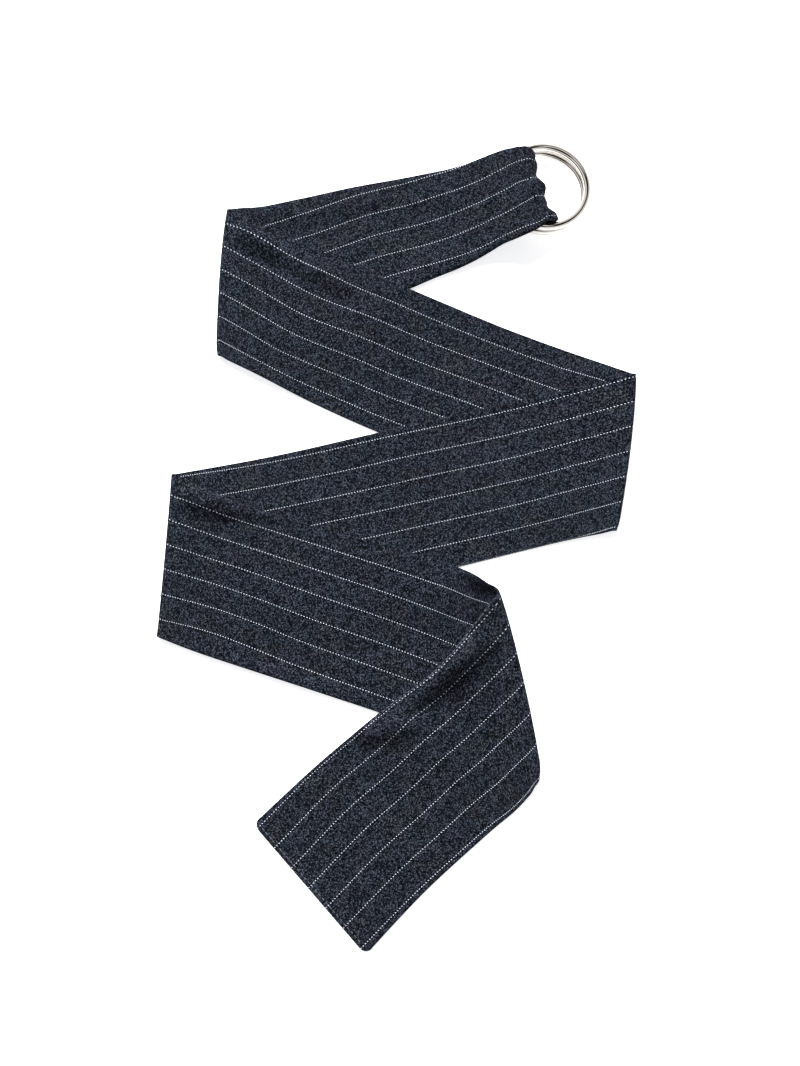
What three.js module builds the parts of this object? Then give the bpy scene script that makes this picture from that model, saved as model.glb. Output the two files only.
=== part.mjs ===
// A striped cloth sash belt, laid out in a zigzag, with two rings held in its end loop.
// Millimetres. X runs right and Y away from the viewer, Z is up and the floor is z = 0.
import * as THREE from "three";

// Cloth strip: one tube of suiting, sewn and pressed flat to two plies
const BELT_WIDTH = 80;
const CLOTH = 1.2;
const EDGE_ROUND = 0.4;
const CORNER_RADIUS = 4;
const CORNER_STEPS = [1, 0.6, 0.25, 0.06, 0];
const CURL_RADIUS = 0.8;
const CLOTH_COLOUR = 0x2c2e38;

// Rings: bent from round wire and welded shut
const RING_OUTER_DIAMETER = 50.4;
const RING_WIRE = 4;
const RING_TILT = 4.5;
const RING_SPREAD = 1.5;
const RING_SPACING = 4.9;
const LOWER_RING = { x: 77.6, y: 188.7 };
const UPPER_RING = { x: 78.8, y: 189.1 };
const LOOP_HEADING = 15.6;
const NICKEL_COLOUR = 0xd8d4cc;

// The loop round the rings, and the return tab that is sewn down under the belt
const LOOP_RISE = 14.2;
const TAB_LENGTH = 33;
const TAB_STEPS = [1, 0.99, 0.66, 0.33, 0];

// The nose of the loop is gathered into the rings: notches draw it back between its three lobes.
// Columns: share of the way across, half width as a share, depth.
const notch = (across, halfWidth, depth) => ({ across, halfWidth, depth });
const NOTCHES = [notch(0.33, 0.2, 3.2), notch(0.58, 0.14, 1.2), notch(0.78, 0.1, 2.2)];
const NOTCH_REACH = 18;

// Drape: how a run settles from the fold that it leaves to the floor
const LAYER_CLEARANCE = 0.3;
const EDGE_MARGIN = 9;
const DRAPE_WIDTH = 12;
const TUCK_SAG = 10;
const PRESSED_LIFT = 4;
const RIDGE_START = 4;
const RIDGE_GROWTH = 20;
const BULGE_REACH = 30;
const FOLD_LOOSENESS = 1.5;
const SETTLED = 1000;

// Plan of the whole belt, moved so that its box is centred on the origin
const PLAN_CENTRE = { x: 0.96, y: 4.77 };

// How finely the surfaces are stepped
const STEPS_PER_ROW = 4;
const FOLD_STEPS = 6;
const CURL_STEPS = 3;
const INNER_COLUMNS = 8;
const RING_SEGMENTS = 36;
const WIRE_SIDES = 10;

// Runs of the belt between its folds, in the order of the cloth.
// Each row is a line across the strip, from edge u to edge v.
// Columns: place of edge u, place of edge v, lift off the floor, cloth tucked under at u and at v.
const row = (ux, uy, vx, vy, lift = 0, tuckU = 0, tuckV = 0) => ({ ux, uy, vx, vy, lift, tuckU, tuckV });
const RUNS = [
  // From the rings to the first fold
  [
    row(67.2, 207.0, 77.4, 170.6, LOOP_RISE, 20.0, 13.5),
    row(59.5, 208.0, 73.0, 163.6, LOOP_RISE, 18.4, 12.4),
    row(50.0, 204.8, 64.3, 157.1, LOOP_RISE, 16.5, 11.2),
    row(40.0, 203.1, 55.9, 154.9, 9.5, 15.2, 11.4),
    row(30.0, 202.1, 46.2, 151.4, 4.8, 14.6, 10.8),
    row(15.0, 199.9, 32.1, 145.7, 1.0, 13.4, 9.6),
    row(0.0, 197.1, 18.4, 140.2, 0, 11.8, 8.2),
    row(-27.5, 191.6, -8.1, 128.2, 0, 9.8, 3.5),
    row(-55.0, 185.2, -36.0, 117.2, 0, 7.6, 0),
    row(-77.0, 180.2, -62.0, 108.8, 0, 4.0, 0),
    row(-91.9, 180.4, -95.7, 95.9),
  ],
  // From the first fold to the second
  [
    row(-91.8, 178.2, -95.7, 94.5),
    row(-50.0, 157.5, -80.0, 86.6),
    row(10.0, 130.5, -21.6, 58.1),
    row(75.0, 103.9, 44.0, 31.3),
    row(123.2, 86.3, 110.5, 1.4),
  ],
  // From the second fold to the third
  [
    row(123.0, 85.2, 110.3, 0.3),
    row(62.0, 70.5, 79.0, -5.8),
    row(-5.0, 54.7, 13.0, -22.0),
    row(-68.0, 40.5, -52.0, -36.7),
    row(-116.2, 31.5, -121.2, -53.3),
  ],
  // From the third fold to the fourth
  [
    row(-116.1, 30.0, -121.1, -54.6),
    row(-80.0, 14.0, -98.0, -63.3),
    row(-20.0, -3.6, -43.2, -80.9),
    row(25.4, -16.4, 9.8, -98.6),
    row(44.6, -26.6, 68.2, -121.6),
  ],
  // From the fourth fold to the free end
  [
    row(44.8, -38.0, 68.7, -126.5),
    row(20.0, -69.0, 57.8, -138.4),
    row(-8.0, -90.0, 42.0, -151.3),
    row(-40.0, -116.5, 12.0, -177.5),
    row(-72.3, -145.4, -16.5, -206.4),
  ],
];

// Folds between the runs, each a half turn upwards.
// Columns: direction in which the fold points, radius at edge u and at edge v, bulge of its line,
// height of the layer beneath, and the length over which the cloth settles at edge u and at edge v.
const fold = (heading, radiusU, radiusV, bulge, under, settleU, settleV) => ({
  heading,
  radiusU,
  radiusV,
  bulge,
  under,
  settleU,
  settleV,
});
const FOLDS = [
  fold(177.6, 1.9, 1.6, 1.6, CLOTH + 2 * CURL_RADIUS, 30, 25),
  fold(-8.6, 1.5, 1.5, 1.7, CLOTH, 25, 25),
  fold(176.7, 2.2, 1.5, -0.2, CLOTH, 35, 25),
  fold(11.8, 5.4, 1.5, 1.8, CLOTH, 70, 25),
];

// Soft ridges pressed into the cloth by its folding.
// Columns: run, middle of the ridge, direction, half length, half width, height.
const ridge = (run, x, y, heading, halfLength, halfWidth, height) => ({
  run,
  x,
  y,
  heading,
  halfLength,
  halfWidth,
  height,
});
const RIDGES = [
  ridge(1, -70, 166, -24, 30, 7, 1.3),
  ridge(1, -20, 128, -24, 45, 8, 1.0),
  ridge(3, -75, -5, -17, 40, 9, 1.2),
  ridge(3, 15, -35, -20, 35, 8, 1.0),
  ridge(4, 20, -80, 222, 35, 9, 1.6),
];

const radians = THREE.MathUtils.degToRad;
const lerp = THREE.MathUtils.lerp;
const smooth = (t) => THREE.MathUtils.smoothstep(t, 0, 1);
const heading = (degrees) => new THREE.Vector2(Math.cos(radians(degrees)), Math.sin(radians(degrees)));

// A smooth curve through equally spaced values, at place t counted in rows
function through(values, t) {
  const last = values.length - 1;
  const i = Math.min(Math.floor(t), last - 1);
  const f = t - i;
  const before = values[Math.max(i - 1, 0)];
  const after = values[Math.min(i + 2, last)];
  const startSlope = (values[i + 1] - before) / 2;
  const endSlope = (after - values[i]) / 2;
  const step = values[i + 1] - values[i];
  const square = 3 * step - 2 * startSlope - endSlope;
  const cubic = startSlope + endSlope - 2 * step;
  return values[i] + f * (startSlope + f * (square + f * cubic));
}

// One line across the strip at place t of a run
function rowAt(rows, t) {
  const read = (column) => through(rows.map((r) => r[column]), t);
  return {
    u: new THREE.Vector2(read("ux"), read("uy")),
    v: new THREE.Vector2(read("vx"), read("vy")),
    lift: Math.max(read("lift"), 0),
    tuckU: Math.max(read("tuckU"), 0),
    tuckV: Math.max(read("tuckV"), 0),
  };
}

// Distance from edge v of a run, positive on the side where its cloth lies
function distanceInside(rows, point) {
  let nearest = Infinity;
  let side = 1;
  const edge = rows.map((r) => new THREE.Vector2(r.vx, r.vy));
  const towardsCloth = new THREE.Vector2(rows[2].ux, rows[2].uy).sub(edge[2]);
  for (let i = 0; i + 1 < edge.length; i++) {
    const along = edge[i + 1].clone().sub(edge[i]);
    const offset = point.clone().sub(edge[i]);
    const t = THREE.MathUtils.clamp(offset.dot(along) / along.lengthSq(), 0, 1);
    const distance = offset.clone().sub(along.clone().multiplyScalar(t)).length();
    if (distance < nearest) {
      nearest = distance;
      side = Math.sign(along.cross(offset) * along.cross(towardsCloth)) || 1;
    }
  }
  return nearest * side;
}

// Height of the ridges of one run at a point
function ridgeHeight(run, point) {
  let height = 0;
  for (const r of RIDGES.filter((each) => each.run === run)) {
    const away = point.clone().sub(new THREE.Vector2(r.x, r.y));
    away.rotateAround(new THREE.Vector2(), -radians(r.heading));
    const reach = Math.hypot(away.x / r.halfLength, away.y / r.halfWidth);
    height += r.height * (1 - smooth(reach));
  }
  return height;
}

// Half the cloth is a little above the floor, and more where it lies on the run before
function restingHeight(station, point, across) {
  const { run, travelled } = station;
  let lift = ridgeHeight(run, point);
  if (run > 0) {
    const before = FOLDS[run - 1];
    const start = 2 * lerp(before.radiusU, before.radiusV, foldShare(across));
    const settle = lerp(before.settleU, before.settleV, across);
    const relaxed = start * (1 - smooth(travelled / settle));
    const inside = distanceInside(RUNS[run - 1], point) + EDGE_MARGIN + DRAPE_WIDTH;
    const carried = (before.under + LAYER_CLEARANCE) * smooth(inside / DRAPE_WIDTH);
    lift = Math.max(lift * smooth((travelled - RIDGE_START) / RIDGE_GROWTH) + carried, relaxed);
  }
  return CLOTH / 2 + lift;
}

// A loose fold is wide at edge u and soon tightens towards edge v
const foldShare = (across) => 1 - Math.pow(1 - across, FOLD_LOOSENESS);

// Stations are the lines across the strip at which its surface is worked out
function runStations(run) {
  const stations = [];
  const last = RUNS[run].length - 1;
  const start = rowAt(RUNS[run], 0);
  const steps = last * (run === 0 ? 2 : STEPS_PER_ROW);
  for (let i = 0; i <= steps; i++) {
    const line = rowAt(RUNS[run], (last * i) / steps);
    const travelled = (line.u.distanceTo(start.u) + line.v.distanceTo(start.v)) / 2;
    stations.push({ ...line, run, travelled, behind: run === 0 ? travelled : NOTCH_REACH, turn: 0 });
  }
  return stations;
}

// Between two runs the strip turns up and over; it is worked out from the two lines that it joins
function foldStations(index) {
  const from = rowAt(RUNS[index], RUNS[index].length - 1);
  const to = rowAt(RUNS[index + 1], 0);
  const stations = [];
  for (let i = 1; i < FOLD_STEPS; i++) {
    const share = i / FOLD_STEPS;
    stations.push({
      u: from.u.clone().lerp(to.u, share),
      v: from.v.clone().lerp(to.v, share),
      lift: 0,
      tuckU: lerp(from.tuckU, to.tuckU, share),
      tuckV: lerp(from.tuckV, to.tuckV, share),
      run: index,
      behind: NOTCH_REACH,
      travelled: SETTLED,
      turn: Math.PI * share,
      fold: FOLDS[index],
    });
  }
  return stations;
}

// The loop: the return tab under the rings, then a half turn up to the first run
function loopStations() {
  const outward = heading(LOOP_HEADING);
  const first = rowAt(RUNS[0], 0);
  const stations = [];
  const base = { ...first, lift: 0, run: -1, travelled: 0, turn: 0 };
  for (const back of TAB_STEPS) {
    const shift = outward.clone().multiplyScalar(-TAB_LENGTH * back);
    const behind = TAB_LENGTH * back;
    stations.push({ ...base, behind, u: first.u.clone().add(shift), v: first.v.clone().add(shift) });
  }
  const loop = { heading: LOOP_HEADING, radiusU: LOOP_RISE / 2, radiusV: LOOP_RISE / 2, bulge: 0 };
  for (let i = 1; i < 2 * FOLD_STEPS; i++) {
    stations.push({ ...base, behind: 0, turn: (Math.PI * i) / (2 * FOLD_STEPS), fold: loop });
  }
  return stations;
}

// The free end: the last line is drawn in at both ends to round the corners
function endStations(stations) {
  const last = stations.pop();
  const before = stations[stations.length - 1];
  const back = before.u.clone().add(before.v).sub(last.u).sub(last.v).normalize();
  for (const share of CORNER_STEPS) {
    const away = CORNER_RADIUS * share;
    const drawn = CORNER_RADIUS - Math.sqrt(CORNER_RADIUS ** 2 - (CORNER_RADIUS - away) ** 2);
    const shift = back.clone().multiplyScalar(away);
    stations.push({ ...last, u: last.u.clone().add(shift), v: last.v.clone().add(shift), drawn });
  }
}

// Lengths of cloth from edge u at which a station has its columns
function columnsOf(station) {
  const curl = Math.PI * CURL_RADIUS;
  const startU = Math.max(station.tuckU, curl + 2 * EDGE_ROUND);
  const startV = Math.max(station.tuckV, curl + 2 * EDGE_ROUND);
  const sideU = [0, EDGE_ROUND];
  const sideV = [BELT_WIDTH, BELT_WIDTH - EDGE_ROUND];
  for (let i = 0; i <= CURL_STEPS; i++) {
    sideU.push(startU - curl * (1 - i / CURL_STEPS));
    sideV.push(BELT_WIDTH - startV + curl * (1 - i / CURL_STEPS));
  }
  const inner = [];
  const width = BELT_WIDTH - startU - startV;
  for (let i = 1; i < INNER_COLUMNS; i++) inner.push(startU + (width * i) / INNER_COLUMNS);
  const columns = [...sideU, ...inner, ...sideV.reverse()];
  const drawn = station.drawn ?? 0;
  return columns.map((c) => drawn + (c * (BELT_WIDTH - 2 * drawn)) / BELT_WIDTH);
}

// How a tucked edge curls: distance in from the outermost line, and depth below the surface
function curled(tuck, past) {
  const angle = Math.min(tuck / CURL_RADIUS, Math.PI);
  const widest = CURL_RADIUS * Math.sin(Math.min(angle, Math.PI / 2));
  const turned = Math.min(past / CURL_RADIUS, angle);
  const flat = Math.max(past - angle * CURL_RADIUS, 0);
  return {
    inset: widest - CURL_RADIUS * Math.sin(turned) + flat,
    depth: CURL_RADIUS * (1 - Math.cos(turned)),
  };
}

// How far the top of a tucked edge is held up by the layer folded beneath it
function tuckHeight(tuck, inset) {
  const full = CURL_RADIUS * (1 - Math.cos(Math.min(tuck / CURL_RADIUS, Math.PI)));
  return full * (1 - smooth((inset - tuck) / TUCK_SAG));
}

// How far the notches draw the cloth back from the nose
function drawnBack(station, across) {
  let depth = 0;
  for (const n of NOTCHES) depth += n.depth * (1 - smooth(Math.abs(across - n.across) / n.halfWidth));
  return depth * (1 - smooth(station.behind / NOTCH_REACH));
}

// Middle of the cloth at a length from edge u
function clothPoint(station, length) {
  const { u, v, tuckU, tuckV } = station;
  const spread = u.distanceTo(v);
  const edgeU = curled(tuckU, 0).inset;
  const edgeV = curled(tuckV, 0).inset;
  const stretch = (spread - edgeU - edgeV) / (BELT_WIDTH - tuckU - tuckV);
  let inset = edgeU + (length - tuckU) * stretch;
  let depth = 0;
  if (length < tuckU) ({ inset, depth } = curled(tuckU, tuckU - length));
  if (length > BELT_WIDTH - tuckV) {
    const far = curled(tuckV, length - BELT_WIDTH + tuckV);
    inset = spread - far.inset;
    depth = far.depth;
  }
  const across = THREE.MathUtils.clamp(inset / spread, 0, 1);
  const plan = u.clone().lerp(v, inset / spread);
  return rolledPoint(station, plan, across, depth);
}

// The point carried up the turn of a fold, or straight up to where the run lies
function rolledPoint(station, plan, across, depth) {
  const { turn, fold: bend, run, lift, tuckU, tuckV, u, v } = station;
  const facesUp = run % 2 === 0 ? 1 : -1;
  let normal = new THREE.Vector3(0, 0, facesUp);
  const spread = u.distanceTo(v);
  const raised = Math.max(tuckHeight(tuckU, across * spread), tuckHeight(tuckV, (1 - across) * spread));
  const held = run === 0 ? raised * (1 - smooth(lift / PRESSED_LIFT)) : 0;
  const bulge = bulgeOf(station) * 4 * across * (1 - across);
  const out = bulgeHeading(station);
  const back = heading(LOOP_HEADING).multiplyScalar(-drawnBack(station, across));
  const place = new THREE.Vector3(plan.x + out.x * bulge + back.x, plan.y + out.y * bulge + back.y, 0);
  const resting = run < 0 ? CLOTH / 2 : restingHeight(station, plan, across);
  place.z = resting + lift + held * (1 - turn / Math.PI);
  if (bend) {
    const outward = heading(bend.heading);
    const radius = lerp(bend.radiusU, bend.radiusV, foldShare(across));
    place.x += outward.x * radius * Math.sin(turn);
    place.y += outward.y * radius * Math.sin(turn);
    place.z += radius * (1 - Math.cos(turn));
    const lean = -facesUp * Math.sin(turn);
    normal = new THREE.Vector3(outward.x * lean, outward.y * lean, facesUp * Math.cos(turn));
  }
  return place.addScaledVector(normal, -depth);
}

// The line of a fold bows outwards in its middle, and the runs on both sides follow it a little
function bulgeOf(station) {
  if (station.fold) return station.fold.bulge;
  const { run, travelled, remaining } = station;
  const start = run > 0 ? FOLDS[run - 1].bulge * (1 - smooth(travelled / BULGE_REACH)) : 0;
  const end = run >= 0 && run < FOLDS.length ? FOLDS[run].bulge * (1 - smooth(remaining / BULGE_REACH)) : 0;
  return Math.abs(start) > Math.abs(end) ? start : end;
}
function bulgeHeading(station) {
  const { run, travelled, remaining } = station;
  if (station.fold) return heading(station.fold.heading);
  if (run > 0 && (run === FOLDS.length || travelled < remaining)) return heading(FOLDS[run - 1].heading);
  return heading(run >= 0 && run < FOLDS.length ? FOLDS[run].heading : 0);
}

// Every station of the strip, from the end of the return tab to the free end
function allStations() {
  const stations = loopStations();
  for (let run = 0; run < RUNS.length; run++) {
    const own = runStations(run);
    const length = own[own.length - 1].travelled;
    for (const station of own) station.remaining = length - station.travelled;
    if (run === RUNS.length - 1) endStations(own);
    stations.push(...own);
    if (run < FOLDS.length) stations.push(...foldStations(run));
  }
  return stations;
}

// Direction square to the cloth at a grid point
function squareTo(grid, i, j) {
  const across = grid[i][Math.min(j + 1, grid[i].length - 1)].clone().sub(grid[i][Math.max(j - 1, 0)]);
  const along = grid[Math.min(i + 1, grid.length - 1)][j].clone().sub(grid[Math.max(i - 1, 0)][j]);
  return across.cross(along).normalize();
}

// A closed solid of even thickness round the grid, thinned to a rounded rim
function clothSolid(grid) {
  const rows = grid.length;
  const columns = grid[0].length;
  const onRim = (i, j) => i === 0 || j === 0 || i === rows - 1 || j === columns - 1;
  const positions = [];
  const numbers = [];
  for (const side of [1, -1]) {
    const indices = [];
    for (let i = 0; i < rows; i++) {
      for (let j = 0; j < columns; j++) {
        const shared = onRim(i, j);
        if (shared && side < 0) {
          indices.push(numbers[0][i * columns + j]);
          continue;
        }
        const point = grid[i][j].clone();
        if (!shared) point.addScaledVector(squareTo(grid, i, j), (side * CLOTH) / 2);
        indices.push(positions.length / 3);
        positions.push(point.x, point.y, point.z);
      }
    }
    numbers.push(indices);
  }
  const faces = [];
  numbers.forEach((indices, side) => {
    for (let i = 0; i + 1 < rows; i++) {
      for (let j = 0; j + 1 < columns; j++) {
        const a = indices[i * columns + j];
        const b = indices[i * columns + j + 1];
        const c = indices[(i + 1) * columns + j + 1];
        const d = indices[(i + 1) * columns + j];
        if (side === 0) faces.push(a, b, c, a, c, d);
        else faces.push(a, c, b, a, d, c);
      }
    }
  });
  const geometry = new THREE.BufferGeometry();
  geometry.setAttribute("position", new THREE.Float32BufferAttribute(positions, 3));
  geometry.setIndex(faces);
  geometry.computeVertexNormals();
  return geometry;
}

function makeBeltBand() {
  const pointsAcross = (station) => columnsOf(station).map((length) => clothPoint(station, length));
  const grid = allStations().map(pointsAcross);
  const material = new THREE.MeshStandardMaterial({ color: CLOTH_COLOUR, roughness: 0.9, metalness: 0 });
  const band = new THREE.Mesh(clothSolid(grid), material);
  band.name = "belt_band";
  return band;
}

// A ring lies with its free side on the floor and its other side in the loop
function makeRing(name, centre, stacked, spread) {
  const radius = (RING_OUTER_DIAMETER - RING_WIRE) / 2;
  const geometry = new THREE.TorusGeometry(radius, RING_WIRE / 2, WIRE_SIDES, RING_SEGMENTS);
  const material = new THREE.MeshStandardMaterial({ color: NICKEL_COLOUR, roughness: 0.12, metalness: 1 });
  const ring = new THREE.Mesh(geometry, material);
  ring.name = name;
  const tilt = radians(RING_TILT);
  const height = RING_WIRE / 2 / Math.cos(tilt) + radius * Math.sin(tilt) + stacked;
  ring.position.set(centre.x, centre.y, height);
  ring.rotation.set(radians(spread), tilt, radians(LOOP_HEADING), "ZYX");
  return ring;
}

const belt = new THREE.Group();
belt.add(makeBeltBand());
belt.add(makeRing("ring_lower", LOWER_RING, 0, 0));
belt.add(makeRing("ring_upper", UPPER_RING, RING_SPACING, RING_SPREAD));
belt.position.set(-PLAN_CENTRE.x, -PLAN_CENTRE.y, 0);

export default belt;
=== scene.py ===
"""A striped cloth sash belt laid out in a zigzag, with two polished rings held in its end loop."""

import logging
import math
from dataclasses import astuple, dataclass, field, fields, replace
from enum import Enum

import bmesh
import bpy
import numpy as np
from mathutils import Matrix, Vector


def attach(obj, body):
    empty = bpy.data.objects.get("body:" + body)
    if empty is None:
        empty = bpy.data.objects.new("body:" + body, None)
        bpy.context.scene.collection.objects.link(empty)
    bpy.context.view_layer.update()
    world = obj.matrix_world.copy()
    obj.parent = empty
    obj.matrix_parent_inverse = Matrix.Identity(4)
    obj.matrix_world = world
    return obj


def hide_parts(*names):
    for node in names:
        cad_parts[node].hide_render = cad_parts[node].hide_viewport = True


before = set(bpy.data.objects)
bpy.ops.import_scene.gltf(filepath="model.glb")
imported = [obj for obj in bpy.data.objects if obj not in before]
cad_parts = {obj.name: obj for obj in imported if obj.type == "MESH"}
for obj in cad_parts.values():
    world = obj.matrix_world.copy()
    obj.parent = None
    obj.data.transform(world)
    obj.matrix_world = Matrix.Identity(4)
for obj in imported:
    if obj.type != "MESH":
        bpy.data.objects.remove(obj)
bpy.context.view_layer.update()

log = logging.getLogger("striped_belt")

MM = 0.001

# The curve of display colours
DISPLAY_WHITE = 255
DISPLAY_KNEE = 0.04045
DISPLAY_SLOPE = 12.92
DISPLAY_OFFSET = 0.055
DISPLAY_POWER = 2.4

# Measures of the belt that more than one piece uses, in millimetres
CLOTH = 1.2
LOOP_RISE = 14.2
PLAN_CENTRE = (0.96, 4.77)
FAR_AWAY = 1000.0

Colour = tuple[float, float, float]


class Socket(Enum):
    """The kinds of socket that the shared effects take and give."""

    VALUE = "NodeSocketFloat"
    VECTOR = "NodeSocketVector"


def srgb(red: float, green: float, blue: float) -> tuple[float, float, float, float]:
    """A display colour in 0 to 255 as the linear colour that shaders take.

    Args:
        red, green, blue: the display values.

    Returns:
        The linear colour with full opacity.
    """
    linear = []
    for value in (red, green, blue):
        share = value / DISPLAY_WHITE
        if share <= DISPLAY_KNEE:
            linear.append(share / DISPLAY_SLOPE)
        else:
            linear.append(((share + DISPLAY_OFFSET) / (1 + DISPLAY_OFFSET)) ** DISPLAY_POWER)
    return (*linear, 1.0)


def smooth(share: float) -> float:
    """An eased step from 0 to 1."""
    share = min(max(share, 0.0), 1.0)
    return share * share * (3 - 2 * share)


def mix(start: float, end: float, share: float) -> float:
    """The value between start and end at share."""
    return start + (end - start) * share


def hump(across: float, peak: float = 0.5) -> float:
    """A rounded hump from 0 at both edges to 1 at its peak, a share of the way across.

    Args:
        across: share of the way across.
        peak: where the hump is highest.

    Returns:
        The height from 0 to 1.
    """
    if across <= 0:
        return 0.0
    moved = across ** (math.log(0.5) / math.log(peak))
    return 4 * moved * (1 - moved)


def pointing(degrees: float) -> Vector:
    """A flat unit vector in that heading."""
    return Vector((math.cos(math.radians(degrees)), math.sin(math.radians(degrees))))


def through(values: list[float], place: float) -> float:
    """A smooth curve through equally spaced values.

    Args:
        values: the values at places 0, 1, 2 and so on.
        place: where to read the curve.

    Returns:
        The value there.
    """
    last = len(values) - 1
    index = min(int(place), last - 1)
    share = place - index
    before = values[max(index - 1, 0)]
    after = values[min(index + 2, last)]
    start_slope = (values[index + 1] - before) / 2
    end_slope = (after - values[index]) / 2
    step = values[index + 1] - values[index]
    cubic = start_slope + end_slope - 2 * step
    square = 3 * step - 2 * start_slope - end_slope
    return values[index] + share * (start_slope + share * (square + share * cubic))


def finished(name: str, work: bmesh.types.BMesh) -> bpy.types.Object:
    """Turns a worked mesh into a smoothly shaded object.

    Args:
        name: name of the object and of its mesh.
        work: the mesh being made, which is freed.

    Returns:
        The new object, linked to the scene.
    """
    mesh = bpy.data.meshes.new(name)
    work.to_mesh(mesh)
    work.free()
    for polygon in mesh.polygons:
        polygon.use_smooth = True
    made = bpy.data.objects.new(name, mesh)
    bpy.context.scene.collection.objects.link(made)
    return made


@dataclass(frozen=True)
class CrossLine:
    """A line across the strip in plan, from edge u to edge v, in millimetres.

    The seam runs along edge u. A crease is how far the cloth has crept round that edge, and a tuck is
    how much cloth is turned under there.
    """

    ux: float
    uy: float
    vx: float
    vy: float
    crease_u: float = 0.0
    crease_v: float = 0.0
    lift: float = 0.0
    tuck_u: float = 0.0
    tuck_v: float = 0.0


@dataclass(frozen=True)
class Fold:
    """A half turn of the strip, and how the cloth settles after it.

    It has a heading in degrees, a radius at each edge, a bulge outwards and the height under the next run.
    Grip says how fast the radius tightens, and drape how long the next run takes to come down.
    """

    heading: float
    radius_u: float
    radius_v: float
    bulge: float
    under: float
    settle_u: float
    settle_v: float
    grip: float = 1.5
    drape: float = 30.0


@dataclass(frozen=True)
class Ridge:
    """A soft ridge, or with a negative height a hollow, pressed into one run by its folding."""

    run: int
    x: float
    y: float
    heading: float
    half_length: float
    half_width: float
    height: float


@dataclass(frozen=True)
class Notch:
    """A place where the gathered nose of the loop is drawn back: share of the way across, and depth."""

    across: float
    half_width: float
    depth: float


@dataclass(frozen=True)
class Sway:
    """A stretch of a run where the cloth has slid sideways, towards edge v where the slide is positive."""

    run: int
    middle: float
    half_length: float
    slide: float
    peak: float = 0.5


@dataclass
class Station:
    """One worked line across the strip, with how it lies and turns there."""

    u: Vector
    v: Vector
    lift: float
    tuck_u: float
    tuck_v: float
    run: int
    travelled: float = 0.0
    remaining: float = FAR_AWAY
    turn: float = 0.0
    fold: Fold | None = None
    drawn: float = 0.0
    behind: float = FAR_AWAY
    crease_u: float = 0.0
    crease_v: float = 0.0
    flare_u: float = 0.0
    flare_v: float = 0.0


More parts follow.
